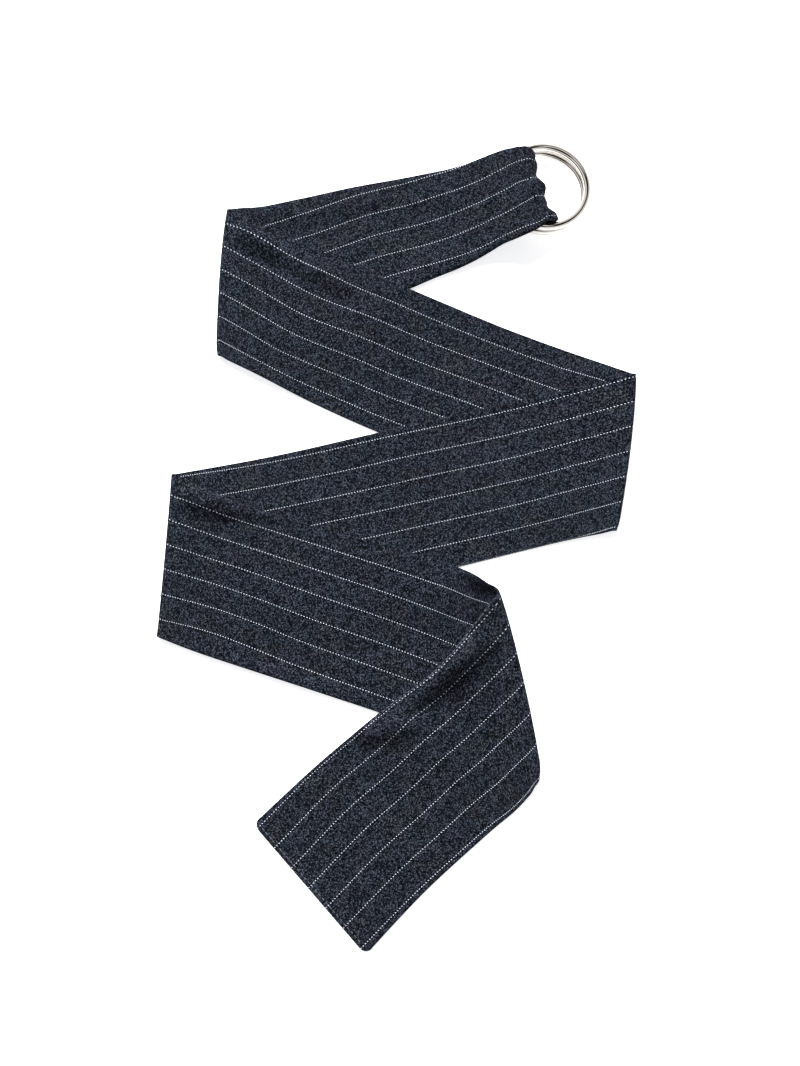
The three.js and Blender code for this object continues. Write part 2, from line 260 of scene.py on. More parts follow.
@dataclass
class BeltLay:
    """How the strip lies: its runs, folds and drape, all in millimetres in the frame of the plan."""

    width: float = 80.0
    flat_length: float = 1060.0
    cloth: float = CLOTH
    curl_radius: float = 0.8
    corner_radius: float = 4.0
    tab_length: float = 33.0
    loop_heading: float = 15.6

    # How a run settles on the layer beneath it
    layer_clearance: float = 0.3
    edge_margin: float = 2.0
    ridge_growth: float = 6.0
    tuck_sag: float = 10.0
    pressed_lift: float = 4.0

    # The plan
    centre: Vector = field(default_factory=lambda: Vector(PLAN_CENTRE))
    runs: tuple[tuple[CrossLine, ...], ...] = (
        (
            CrossLine(67.2, 207.0, 77.4, 170.6, 0.0, 0.0, LOOP_RISE, 20.0, 13.5),
            CrossLine(59.5, 208.0, 72.1, 164.5, 0.0, 0.0, LOOP_RISE, 18.4, 12.4),
            CrossLine(50.0, 204.8, 63.8, 158.1, 0.0, 0.0, LOOP_RISE, 16.5, 11.2),
            CrossLine(40.0, 203.1, 55.4, 156.3, 0.0, 0.0, 9.5, 15.2, 11.4),
            CrossLine(30.0, 202.1, 45.9, 152.2, 0.0, 0.0, 4.8, 14.6, 10.8),
            CrossLine(15.0, 199.9, 32.1, 145.7, 0.0, 0.0, 1.0, 13.4, 9.6),
            CrossLine(0.0, 197.1, 18.4, 140.2, 0.0, 0.0, 0.0, 11.8, 8.2),
            CrossLine(-27.5, 191.6, -8.1, 128.2, -0.6, -0.6, 0.0, 9.8, 3.5),
            CrossLine(-55.0, 185.2, -36.0, 117.2, -1.2, -1.4, 0.0, 7.6, 0.0),
            CrossLine(-77.0, 180.2, -62.0, 108.8, -0.8, -0.6, 0.0, 4.0, 0.0),
            CrossLine(-91.9, 180.4, -95.7, 95.9, 2.6, 0.0),
        ),
        (
            CrossLine(-91.8, 178.2, -95.7, 94.5, 0.3, 0.0),
            CrossLine(-50.0, 157.5, -80.0, 86.6, 2.6, 0.0),
            CrossLine(10.0, 130.5, -21.6, 58.1, 2.6, -0.5),
            CrossLine(75.0, 103.9, 44.0, 31.3, 2.8, -0.8),
            CrossLine(123.2, 86.3, 110.5, 1.4, 0.6, 0.0),
        ),
        (
            CrossLine(123.0, 85.2, 110.3, 0.3, -0.2, 0.0),
            CrossLine(62.0, 70.5, 79.0, -5.8, -2.4, -1.9),
            CrossLine(-5.0, 54.7, 13.0, -22.0, -1.8, -1.6),
            CrossLine(-68.0, 40.5, -52.0, -36.7, -1.3, -1.2),
            CrossLine(-116.2, 31.5, -121.2, -53.3, 0.0, -1.2),
        ),
        (
            CrossLine(-116.1, 30.0, -121.1, -54.6, 3.6, -0.9),
            CrossLine(-80.0, 14.0, -98.0, -63.3, 0.6, -3.2),
            CrossLine(-20.0, -3.6, -43.2, -80.9, 2.0, -0.6),
            CrossLine(25.4, -16.4, 9.8, -98.6, 3.8, 0.4),
            CrossLine(44.6, -26.6, 68.2, -121.6, 2.0, 0.0),
        ),
        (
            CrossLine(44.8, -38.0, 68.7, -126.5, -1.8, 0.0),
            CrossLine(20.0, -69.0, 57.8, -138.4, -1.6, 0.0),
            CrossLine(-8.0, -90.0, 42.0, -151.3, -0.6, 0.6),
            CrossLine(-40.0, -116.5, 12.0, -177.5, -0.3, 0.9),
            CrossLine(-72.3, -145.4, -16.5, -206.4, -1.2, 2.0),
        ),
    )
    folds: tuple[Fold, ...] = (
        Fold(177.6, 1.9, 1.6, 1.6, CLOTH + 1.6, 30.0, 25.0, drape=45.0),
        Fold(-8.6, 1.5, 1.5, 1.7, CLOTH, 25.0, 25.0),
        Fold(176.7, 2.2, 1.5, -0.2, CLOTH, 35.0, 25.0),
        Fold(11.8, 5.0, 1.5, 3.8, CLOTH, 60.0, 25.0, 3.5),
    )
    notches: tuple[Notch, ...] = (
        Notch(0.13, 0.24, 1.8),
        Notch(0.35, 0.19, 4.0),
        Notch(0.5, 0.2, 0.9),
        Notch(0.69, 0.17, 3.4),
        Notch(0.82, 0.1, 3.0),
    )

    # How the folds bow the strip outwards, and how its corners are rounded
    bulge_peak: float = 0.42
    bulge_reach: float = 30.0
    corner_start: float = 0.93
    corner_reach: float = 13.0
    corner_share: float = 0.4
    corner_steps: tuple[float, ...] = (1.0, 0.8, 0.6, 0.42, 0.28, 0.16, 0.07, 0.02, 0.0)
    corner_gap: float = 0.4

    # The gathered nose of the loop, with its flared edges and its drawn-out tip
    notch_reach: float = 18.0
    notch_sink: float = 0.3
    nose_flare: float = 2.4
    flare_share: float = 0.35
    flare_start: float = 0.55
    flare_reach: float = 8.0
    tip_over: float = 3.5
    tip_under: float = -1.5
    tip_start: float = 0.25
    tip_turned: float = 0.5
    tip_reach: float = 20.0

    # Where the cloth has slid sideways or creased
    sways: tuple[Sway, ...] = (
        Sway(0, 120.0, 60.0, 0.6),
        Sway(0, 92.0, 30.0, -1.2, 0.3),
        Sway(1, 48.0, 42.0, 3.0),
        Sway(1, 100.0, 50.0, 0.8),
        Sway(2, 60.0, 50.0, 0.6),
        Sway(3, 40.0, 45.0, -1.2, 0.75),
        Sway(3, 165.0, 60.0, 1.2, 0.4),
        Sway(4, 22.0, 62.0, -5.2, 0.33),
        Sway(4, 95.0, 45.0, -1.4, 0.25),
        Sway(0, 0.0, 14.0, 1.0, 0.85),
        Sway(0, 26.0, 36.0, 0.9, 0.85),
        Sway(0, 152.0, 34.0, -1.2, 0.2),
    )
    ridges: tuple[Ridge, ...] = (
        Ridge(1, -75.0, 159.0, -30.0, 34.0, 9.0, 5.5),
        Ridge(1, -42.0, 140.0, -27.0, 28.0, 8.0, 4.4),
        Ridge(1, -68.0, 98.0, -43.0, 30.0, 9.0, -1.6),
        Ridge(1, -73.0, 84.0, -26.0, 28.0, 8.0, 1.5),
        Ridge(1, 105.0, 84.0, -22.0, 24.0, 9.0, 1.6),
        Ridge(2, 75.0, 9.0, 37.0, 20.0, 7.0, 1.2),
        Ridge(3, -98.0, 15.0, -14.0, 40.0, 8.0, 5.6),
        Ridge(3, 40.0, -24.0, -24.0, 16.0, 8.0, 5.0),
        Ridge(3, 20.0, -36.0, -108.0, 22.0, 10.0, 1.5),
        Ridge(3, -63.0, -73.0, -18.0, 68.0, 8.0, 2.8),
        Ridge(3, 28.0, -40.0, -72.0, 32.0, 12.0, 2.2),
        Ridge(4, 25.0, -70.0, 222.0, 44.0, 9.5, 7.5),
        Ridge(4, -6.0, -100.0, 10.0, 26.0, 8.0, 4.6),
        Ridge(4, -41.0, -126.0, 30.0, 12.0, 6.0, 1.6),
    )

    # How finely the strip is stepped
    run_steps: float = 2.6
    fold_steps: int = 12
    loop_steps: int = 22
    fewest_steps: int = 2

    def line_at(self, run: int, place: float) -> CrossLine:
        """The line across a run at a place counted in its rows.

        Args:
            run: the run.
            place: where to read it, such as 1.5 between the second and third row.

        Returns:
            The line there.
        """
        rows = self.runs[run]
        values = {}
        for each in fields(CrossLine):
            values[each.name] = through([getattr(row, each.name) for row in rows], place)
        for name in ("lift", "tuck_u", "tuck_v"):
            values[name] = max(values[name], 0.0)
        return CrossLine(**values)

    def station(self, line: CrossLine, run: int, **facts: float | Fold) -> Station:
        """A station on a line of a run, with the facts that differ from a plain one.

        Args:
            line: the line across the strip.
            run: the run that it is part of.
            facts: fields that differ from a plain station.

        Returns:
            The station.
        """
        return Station(
            Vector((line.ux, line.uy)),
            Vector((line.vx, line.vy)),
            line.lift,
            line.tuck_u,
            line.tuck_v,
            run,
            crease_u=line.crease_u,
            crease_v=line.crease_v,
            **facts,
        )

    def distance_inside(self, run: int, point: Vector) -> float:
        """Distance from edge v of a run, positive on the side where its cloth lies.

        Args:
            run: the run.
            point: the place in plan.

        Returns:
            The signed distance in millimetres.
        """
        rows = self.runs[run]
        edge = [Vector((row.vx, row.vy)) for row in rows]
        halfway = len(rows) // 2
        cloth_side = Vector((rows[halfway].ux, rows[halfway].uy)) - edge[halfway]
        nearest, side = math.inf, 1.0
        for start, end in zip(edge, edge[1:]):
            along = end - start
            offset = point - start
            share = min(max(offset.dot(along) / along.length_squared, 0.0), 1.0)
            distance = (offset - along * share).length
            if distance < nearest:
                nearest = distance
                side = math.copysign(1.0, along.cross(offset) * along.cross(cloth_side))
        return nearest * side

    def ridge_height(self, run: int, point: Vector) -> float:
        """Height that the ridges of a run add at a point.

        Args:
            run: the run.
            point: the place in plan.

        Returns:
            The height in millimetres.
        """
        height = 0.0
        for ridge in self.ridges:
            if ridge.run != run:
                continue
            away = Matrix.Rotation(-math.radians(ridge.heading), 2) @ (point - Vector((ridge.x, ridge.y)))
            reach = math.hypot(away.x / ridge.half_length, away.y / ridge.half_width)
            height += ridge.height * (1 - smooth(reach))
        return height

    @staticmethod
    def fold_radius(fold: Fold, across: float) -> float:
        """Radius of a fold, which is loose at edge u and tight towards edge v."""
        return mix(fold.radius_u, fold.radius_v, 1 - (1 - across) ** fold.grip)

    def resting_height(self, station: Station, point: Vector, across: float) -> float:
        """Height of the middle of the cloth where it lies on the floor or on the run before.

        Args:
            station: the line across the strip.
            point: the place in plan.
            across: share of the way from edge u to edge v.

        Returns:
            The height in millimetres.
        """
        run = station.run
        lift = self.ridge_height(run, point)
        if run > 0:
            before = self.folds[run - 1]
            start = 2 * self.fold_radius(before, across)
            settle = mix(before.settle_u, before.settle_v, across)
            relaxed = start * (1 - smooth(station.travelled / settle))
            inside = self.distance_inside(run - 1, point) + self.edge_margin + before.drape
            carried = (before.under + self.layer_clearance) * smooth(inside / before.drape)
            lift = lift * smooth(station.travelled / self.ridge_growth) + max(carried, relaxed)
        return self.cloth / 2 + lift

    def curled(self, tuck: float, past: float) -> tuple[float, float]:
        """How a tucked edge curls under.

        Args:
            tuck: length of cloth that is turned under.
            past: length of cloth past the start of the curl.

        Returns:
            Distance in from the outermost line, and depth below the surface.
        """
        angle = min(tuck / self.curl_radius, math.pi)
        widest = self.curl_radius * math.sin(min(angle, math.pi / 2))
        turned = min(past / self.curl_radius, angle)
        flat = max(past - angle * self.curl_radius, 0.0)
        inset = widest - self.curl_radius * math.sin(turned) + flat
        return inset, self.curl_radius * (1 - math.cos(turned))

    def tuck_height(self, tuck: float, inset: float) -> float:
        """How far the top of a tucked edge is held up by the layer beneath it."""
        full = self.curl_radius * (1 - math.cos(min(tuck / self.curl_radius, math.pi)))
        return full * (1 - smooth((inset - tuck) / self.tuck_sag))

    def bowed(self, fold: Fold, away: float, across: float) -> Vector:
        """How far the line of a fold bows the strip outwards in plan, and rounds its corner at edge v.

        Args:
            fold: the fold.
            away: distance from it along the run.
            across: share of the way from edge u to edge v.

        Returns:
            The shift in millimetres.
        """
        bow = hump(across, self.bulge_peak) * (1 - smooth(away / self.bulge_reach))
        corner = smooth((across - self.corner_start) / (1 - self.corner_start))
        corner *= 1 - smooth(away / self.corner_reach)
        return pointing(fold.heading) * fold.bulge * (bow - self.corner_share * corner)

    def bulge(self, station: Station, across: float) -> Vector:
        """How far the nearby folds shift the cloth in plan.

        Args:
            station: the line across the strip.
            across: share of the way from edge u to edge v.

        Returns:
            The shift in millimetres.
        """
        if station.fold:
            return self.bowed(station.fold, 0.0, across)
        run = station.run
        shift = Vector((0.0, 0.0))
        if run > 0:
            shift += self.bowed(self.folds[run - 1], station.travelled, across)
        if 0 <= run < len(self.folds):
            shift += self.bowed(self.folds[run], station.remaining, across)
        return shift

    def notch_depth(self, station: Station, across: float) -> float:
        """How far the notches of the nose draw the cloth back at a place."""
        depth = sum(n.depth * (1 - smooth(abs(across - n.across) / n.half_width)) for n in self.notches)
        return depth * (1 - smooth(station.behind / self.notch_reach))

    def slide_at(self, run: int, travelled: float, across: float) -> float:
        """How far the cloth has slid at a place of a run, in millimetres towards edge v.

        Args:
            run: the run.
            travelled: distance along it.
            across: share of the way from edge u to edge v.

        Returns:
            The slide, which is negative towards edge u.
        """
        slide = 0.0
        for sway in self.sways:
            if sway.run == run:
                reach = abs(travelled - sway.middle) / sway.half_length
                slide += sway.slide * (1 - smooth(reach)) * hump(across, sway.peak)
        return slide

    def run_length(self, run: int) -> float:
        """Length of a run along its middle.

        Args:
            run: the run.

        Returns:
            The length in millimetres.
        """
        first, last = self.runs[run][0], self.runs[run][-1]
        along_x = last.ux + last.vx - first.ux - first.vx
        along_y = last.uy + last.vy - first.uy - first.vy
        return math.hypot(along_x, along_y) / 2

    def slid(self, station: Station, across: float) -> float:
        """How far the cloth has slid sideways at a place, carried evenly through the folds.

        Args:
            station: the line across the strip.
            across: share of the way from edge u to edge v.

        Returns:
            The slide in millimetres towards edge v.
        """
        if station.run < 0:
            return self.slide_at(0, 0.0, across) * smooth(station.turn / math.pi)
        if station.fold:
            before = self.slide_at(station.run, self.run_length(station.run), across)
            after = self.slide_at(station.run + 1, 0.0, across)
            return mix(before, after, station.turn / math.pi)
        return self.slide_at(station.run, station.travelled, across)

    def cloth_point(self, station: Station, length: float) -> Vector:
        """Middle of the cloth.

        Args:
            station: the line across the strip.
            length: length of cloth from edge u.

        Returns:
            The place in millimetres.
        """
        spread = (station.v - station.u).length
        edge_u = self.curled(station.tuck_u, 0)[0]
        edge_v = self.curled(station.tuck_v, 0)[0]
        top = self.width - station.tuck_u - station.tuck_v
        inset = edge_u + (length - station.tuck_u) * (spread - edge_u - edge_v) / top
        depth = 0.0
        if length < station.tuck_u:
            inset, depth = self.curled(station.tuck_u, station.tuck_u - length)
        if length > self.width - station.tuck_v:
            far, depth = self.curled(station.tuck_v, length - self.width + station.tuck_v)
            inset = spread - far
        across = min(max(inset / spread, 0.0), 1.0)
        shifted = inset + self.slid(station, across)
        shifted -= station.flare_u * (1 - smooth(across / self.flare_share))
        shifted += station.flare_v * (1 - smooth((1 - across) / self.flare_share))
        plan = station.u.lerp(station.v, shifted / spread)
        return self.rolled_point(station, plan, across, depth)

    def rolled_point(self, station: Station, plan: Vector, across: float, depth: float) -> Vector:
        """The point carried up the turn of a fold, or straight up to where the run lies.

        Args:
            station: the line across the strip.
            plan: the place in plan before the turn.
            across: share of the way from edge u to edge v.
            depth: how far beneath the outer surface the point is tucked.

        Returns:
            The place in millimetres.
        """
        run = station.run
        faces_up = 1 if run % 2 == 0 else -1
        normal = Vector((0.0, 0.0, faces_up))
        spread = (station.v - station.u).length
        held = 0.0
        if run == 0:
            raised_u = self.tuck_height(station.tuck_u, across * spread)
            raised_v = self.tuck_height(station.tuck_v, (1 - across) * spread)
            held = max(raised_u, raised_v) * (1 - smooth(station.lift / self.pressed_lift))
        notch = self.notch_depth(station, across)
        place = (plan + self.bulge(station, across) - pointing(self.loop_heading) * notch).to_3d()
        resting = self.cloth / 2 if run < 0 else self.resting_height(station, plan, across)
        sunk = notch * self.notch_sink if run == 0 else 0.0
        place.z = resting + station.lift + held * (1 - station.turn / math.pi) - sunk
        if station.fold:
            bend = station.fold
            outward = pointing(bend.heading)
            radius = self.fold_radius(bend, across)
            place += (outward * radius * math.sin(station.turn)).to_3d()
            place.z += radius * (1 - math.cos(station.turn))
            lean = -faces_up * math.sin(station.turn)
            normal = Vector((outward.x * lean, outward.y * lean, faces_up * math.cos(station.turn)))
        return place - normal * depth

    def loop_stations(self) -> list[Station]:
        """The return tab under the rings, then the half turn up to the first run.

        Returns:
            The lines across them in order.
        """
        first = self.line_at(0, 0)
        flat = replace(first, lift=0.0, crease_u=0.0, crease_v=0.0)
        outward = pointing(self.loop_heading)
        stations = []
        count = int(self.tab_length / self.run_steps)
        for index in range(count + 1):
            behind = self.tab_length * (1 - index / count)
            station = self.station(flat, -1, behind=behind, flare_v=-self.tip_under)
            shift = outward * -behind
            station.u += shift
            station.v += shift
            stations.append(station)
        loop = Fold(self.loop_heading, LOOP_RISE / 2, LOOP_RISE / 2, 0.0, 0.0, 1.0, 1.0)
        for index in range(1, self.loop_steps):
            share = index / self.loop_steps
            over = smooth((share - self.flare_start) / (1 - self.flare_start))
            tip = mix(-self.tip_under, self.tip_over, smooth((share - self.tip_start) / self.tip_turned))
            station = self.station(flat, -1, turn=math.pi * share, fold=loop, behind=0.0)
            stations.append(replace(station, flare_u=self.nose_flare * over, flare_v=tip))
        return stations

    def run_stations(self, run: int) -> list[Station]:
        """The lines across one run, evenly stepped along its cloth.

        Args:
            run: the run.

        Returns:
            The lines in order.
        """
        rows = self.runs[run]
        last = len(rows) - 1
        middle = [Vector(((row.ux + row.vx) / 2, (row.uy + row.vy) / 2)) for row in rows]
        reach = [(end - start).length for start, end in zip(middle, middle[1:])]
        places = []
        for index, length in enumerate(reach):
            count = max(round(length / self.run_steps), self.fewest_steps)
            places += [index + step / count for step in range(count)]
        places.append(last)
        start = rows[0]
        stations = []
        for place in places:
            station = self.station(self.line_at(run, place), run)
            moved_u = (station.u - Vector((start.ux, start.uy))).length
            moved_v = (station.v - Vector((start.vx, start.vy))).length
            station.travelled = (moved_u + moved_v) / 2
            if run == 0:
                station.behind = station.travelled
                station.flare_u = self.nose_flare * (1 - smooth(station.travelled / self.flare_reach))
                station.flare_v = self.tip_over * (1 - smooth(station.travelled / self.tip_reach))
            stations.append(station)
        for station in stations:
            station.remaining = stations[-1].travelled - station.travelled
        return stations

    def fold_stations(self, index: int) -> list[Station]:
        """The lines across a fold, between the runs that it joins.

        Args:
            index: the fold, counted as the run before it.

        Returns:
            The lines in order.
        """
        start = self.line_at(index, len(self.runs[index]) - 1)
        end = self.line_at(index + 1, 0)
        stations = []
        for step in range(1, self.fold_steps):
            share = step / self.fold_steps
            line = CrossLine(*(mix(a, b, share) for a, b in zip(astuple(start), astuple(end))))
            stations.append(
                self.station(line, index, turn=math.pi * share, fold=self.folds[index], travelled=FAR_AWAY)
            )
        return stations

    def round_end(self, stations: list[Station]) -> None:
        """Draws the last lines in at both sides, so that the free end has rounded corners.

        Args:
            stations: the lines across the last run, which are changed in place.
        """
        last = stations[-1]
        back = (stations[-3].u + stations[-3].v - last.u - last.v).normalized()
        stations[:] = [s for s in stations[:-1] if s.remaining > self.corner_radius + self.corner_gap]
        for share in self.corner_steps:
            away = self.corner_radius * share
            drawn = self.corner_radius - math.sqrt(self.corner_radius**2 - (self.corner_radius - away) ** 2)
            shift = back * away
            stations.append(replace(last, u=last.u + shift, v=last.v + shift, remaining=away, drawn=drawn))

    def stations(self) -> list[Station]:
        """Every line of the strip, from the end of the return tab to the free end.

        Returns:
            The lines in order.
        """
        found = self.loop_stations()
        for run in range(len(self.runs)):
            own = self.run_stations(run)
            if run == len(self.runs) - 1:
                self.round_end(own)
            found += own
            if run < len(self.folds):
                found += self.fold_stations(run)
        return found


class ShaderTree:
    """Short ways to add nodes and links to one shader tree."""

    def __init__(self, tree: bpy.types.NodeTree) -> None:
        """Starts on a tree.

        Args:
            tree: the node tree of a material or a node group.
        """
        self.tree = tree

    def add(self, kind: str, **settings: object) -> bpy.types.Node:
        """A new node with its settings.

        Args:
            kind: type of the node.
            settings: its properties.

        Returns:
            The node.
        """
        node = self.tree.nodes.new(kind)
        for name, value in settings.items():
            setattr(node, name, value)
        return node

    def link(self, start: bpy.types.NodeSocket, end: bpy.types.NodeSocket) -> None:
        """Joins two sockets."""
        self.tree.links.new(start, end)

    def feed(self, socket: bpy.types.NodeSocket, value: object) -> None:
        """Gives a socket a value, or links it where the value is a socket.

        Args:
            socket: the input.
            value: a plain value or another node's output.
        """
        if isinstance(value, bpy.types.NodeSocket):
            self.link(value, socket)
        else:
            socket.default_value = value

    def fill(self, node: bpy.types.Node, **values: object) -> None:
        """Sets or links inputs of a node by their names, with _ for a space."""
        for name, value in values.items():
            self.feed(node.inputs[name.replace("_", " ")], value)

    def maths(self, operation: str, *values: object, clamp: bool = False) -> bpy.types.NodeSocket:
        """The result of a maths node.

        Args:
            operation: what it works out.
            values: plain values or sockets.
            clamp: whether the result is held between 0 and 1.

        Returns:
            Its output.
        """
        node = self.add("ShaderNodeMath", operation=operation, use_clamp=clamp)
        for socket, value in zip(node.inputs, values):
            self.feed(socket, value)
        return node.outputs[0]

    def vector(self, operation: str, *values: object) -> bpy.types.NodeSocket:
        """The vector that a vector maths node gives.

        Args:
            operation: what it works out.
            values: plain values or sockets.

        Returns:
            Its output.
        """
        node = self.add("ShaderNodeVectorMath", operation=operation)
        for socket, value in zip(node.inputs, values):
            self.feed(socket, value)
        return node.outputs["Vector"]

    def parts(self, place: bpy.types.NodeSocket) -> bpy.types.bpy_prop_collection:
        """The sockets X, Y and Z of a vector.

        Args:
            place: the vector.

        Returns:
            The outputs, by those names.
        """
        split = self.add("ShaderNodeSeparateXYZ")
        self.link(place, split.inputs[0])
        return split.outputs

    def noise(self, dimensions: str, place: bpy.types.NodeSocket, **values: object) -> bpy.types.NodeSocket:
        """The mask of a noise texture in 2D or 3D, with its inputs set.

        Args:
            dimensions: 2D or 3D.
            place: where it is read.
            values: its other inputs.

        Returns:
            The mask.
        """
        node = self.add("ShaderNodeTexNoise", noise_dimensions=dimensions)
        self.fill(node, Vector=place, **values)
        return node.outputs["Fac"]

    def cells(self, place: bpy.types.NodeSocket) -> bpy.types.NodeSocket:
        """A chance value for every unit cell of a plane.

        Args:
            place: where it is read.

        Returns:
            A value from 0 to 1.
        """
        node = self.add("ShaderNodeTexWhiteNoise", noise_dimensions="2D")
        self.link(self.vector("FLOOR", place), node.inputs["Vector"])
        return node.outputs["Value"]

    def step(self, value: object, low: float, high: float) -> bpy.types.NodeSocket:
        """An eased mask that is 0 at low and 1 at high.

        Args:
            value: the value to judge.
            low: where the mask starts.
            high: where it is full.

        Returns:
            The mask.
        """
        node = self.add("ShaderNodeMapRange", interpolation_type="SMOOTHSTEP")
        self.fill(node, Value=value, From_Min=low, From_Max=high)
        return node.outputs["Result"]

    def between(self, share: object, low: object, high: object) -> bpy.types.NodeSocket:
        """The colour between two colours.

        Args:
            share: how far it goes to the second.
            low: the first colour.
            high: the second colour.

        Returns:
            The mixed colour.
        """
        node = self.add("ShaderNodeMix", data_type="RGBA", clamp_factor=True)
        first, second = [socket for socket in node.inputs if socket.type == "RGBA"]
        self.feed(node.inputs["Factor"], share)
        self.feed(first, low)
        self.feed(second, high)
        return next(socket for socket in node.outputs if socket.type == "RGBA")

    def group(self, group: bpy.types.NodeTree, **values: object) -> bpy.types.Node:
        """A placed node group with its inputs set.

        Args:
            group: the shared effect.
            values: its inputs.

        Returns:
            The node.
        """
        node = self.add("ShaderNodeGroup", node_tree=group)
        self.fill(node, **values)
        return node


def new_group(
    name: str, takes: dict[str, Socket], gives: dict[str, Socket]
) -> tuple[bpy.types.NodeTree, ShaderTree, bpy.types.Node, bpy.types.Node]:
    """An empty shader node group.

    Args:
        name: name of the group.
        takes: kind of socket for each input name.
        gives: kind of socket for each output name.

    Returns:
        The group, its tree helper, its input node and its output node.
    """
    group = bpy.data.node_groups.new(name, "ShaderNodeTree")
    for way, sockets in (("INPUT", takes), ("OUTPUT", gives)):
        for socket, kind in sockets.items():
            group.interface.new_socket(socket, in_out=way, socket_type=kind.value)
    tree = ShaderTree(group)
    return group, tree, tree.add("NodeGroupInput"), tree.add("NodeGroupOutput")


def new_material(name: str) -> tuple[bpy.types.Material, ShaderTree, bpy.types.Node]:
    """A new material.

    Args:
        name: its name.

    Returns:
        The material, its tree helper and its main shader.
    """
    made = bpy.data.materials.new(name)
    made.use_nodes = True
    return made, ShaderTree(made.node_tree), made.node_tree.nodes["Principled BSDF"]


@dataclass(frozen=True)
class TwillWeave:
    """A twill of dark and pale threads, in millimetres of cloth."""

    rib_grain: float = 0.06
    rib_height: float = 0.6
    fleck_rarity: float = 8.0
    fleck_strength: float = 1.95
    float_stretch: tuple[float, float, float] = (1.0, 0.4, 1.0)
    float_rarity: float = 4.0
    float_strength: float = 0.25
    blotch_scale: float = 0.45
    blotch_detail: float = 2.0
    blotch_change: float = 0.3

    def group(self) -> bpy.types.NodeTree:
        """Builds the shared effect.

        Returns:
            A group with a mask of the pale threads and the height of the weave.
        """
        group, tree, start, end = new_group(
            "twill_weave",
            {"Place": Socket.VECTOR, "Thread": Socket.VALUE},
            {"Pale": Socket.VALUE, "Height": Socket.VALUE},
        )
        threads = tree.vector("DIVIDE", start.outputs["Place"], start.outputs["Thread"])
        chance = tree.cells(threads)
        parts = tree.parts(threads)
        diagonal = tree.maths("ADD", parts["X"], parts["Y"])
        rib = tree.maths("SINE", tree.maths("MULTIPLY", diagonal, math.pi / 2))
        rib = tree.maths("MULTIPLY_ADD", rib, 0.5, 0.5)
        blotch = tree.noise("2D", threads, Scale=self.blotch_scale, Detail=self.blotch_detail)
        floats = tree.cells(tree.vector("MULTIPLY", threads, self.float_stretch))
        fleck = tree.maths("MULTIPLY", tree.maths("POWER", chance, self.fleck_rarity), self.fleck_strength)
        streak = tree.maths("MULTIPLY", tree.maths("POWER", floats, self.float_rarity), self.float_strength)
        grain = tree.maths("ADD", tree.maths("MULTIPLY_ADD", rib, self.rib_grain, fleck), streak)
        slow = tree.maths("MULTIPLY_ADD", blotch, self.blotch_change, 1 - self.blotch_change / 2)
        tree.link(tree.maths("MULTIPLY", grain, slow, clamp=True), end.inputs["Pale"])
        uneven = tree.maths("MULTIPLY", chance, 1 - self.rib_height)
        tree.link(tree.maths("MULTIPLY_ADD", rib, self.rib_height, uneven), end.inputs["Height"])
        return group


@dataclass(frozen=True)
class DottedPinstripe:
    """Dotted pinstripes along the strip, in millimetres of cloth."""

    line_edge: tuple[float, float] = (1.25, 0.75)
    dot_slant: float = 0.7
    dot_edge: tuple[float, float] = (0.3, 0.7)

    def group(self) -> bpy.types.NodeTree:
        """Builds the shared effect.

        Returns:
            A group with a mask of the thread and a mask of its raised dots.
        """
        group, tree, start, end = new_group(
            "dotted_pinstripe",
            {
                "Place": Socket.VECTOR,
                "First": Socket.VALUE,
                "Pitch": Socket.VALUE,
                "Dot Pitch": Socket.VALUE,
                "Half Width": Socket.VALUE,
            },
            {"Line": Socket.VALUE, "Dot": Socket.VALUE},
        )
        parts = tree.parts(start.outputs["Place"])
        half = tree.maths("MULTIPLY", start.outputs["Pitch"], 0.5)
        moved = tree.maths("ADD", tree.maths("SUBTRACT", parts["Y"], start.outputs["First"]), half)
        offset = tree.maths("SUBTRACT", tree.maths("FLOORED_MODULO", moved, start.outputs["Pitch"]), half)
        edge = tree.maths("DIVIDE", tree.maths("ABSOLUTE", offset), start.outputs["Half Width"])
        line = tree.step(edge, *self.line_edge)
        slanted = tree.maths("MULTIPLY_ADD", offset, self.dot_slant, parts["X"])
        turned = tree.maths("DIVIDE", slanted, start.outputs["Dot Pitch"])
        dot = tree.step(tree.maths("SINE", tree.maths("MULTIPLY", turned, 2 * math.pi)), *self.dot_edge)
        tree.link(line, end.inputs["Line"])
        tree.link(tree.maths("MULTIPLY", line, dot), end.inputs["Dot"])
        return group


@dataclass(frozen=True)
class Tone:
    """A change of tone: where its noise is read, and from where to where it sets in."""

    name: str
    shift: float
    low: float
    high: float


@dataclass(frozen=True)
class UnevenDye:
    """Slow changes of tone over cloth, as of uneven dye."""

    detail: float = 3.0
    tones: tuple[Tone, ...] = (Tone("Plum", 0.0, 0.42, 0.6), Tone("Earth", 40.0, 0.55, 0.7))

    def group(self) -> bpy.types.NodeTree:
        """Builds the shared effect.

        Returns:
            A group with one mask for a plum tone and one for an earth tone.
        """
        group, tree, start, end = new_group(
            "uneven_dye",
            {"Place": Socket.VECTOR, "Size": Socket.VALUE},
            {tone.name: Socket.VALUE for tone in self.tones},
        )
        scaled = tree.vector("DIVIDE", start.outputs["Place"], start.outputs["Size"])
        for tone in self.tones:
            moved = tree.vector("ADD", scaled, (tone.shift, tone.shift, 0.0))
            mask = tree.noise("2D", moved, Scale=1.0, Detail=self.detail)
            tree.link(tree.step(mask, tone.low, tone.high), end.inputs[tone.name])
        return group


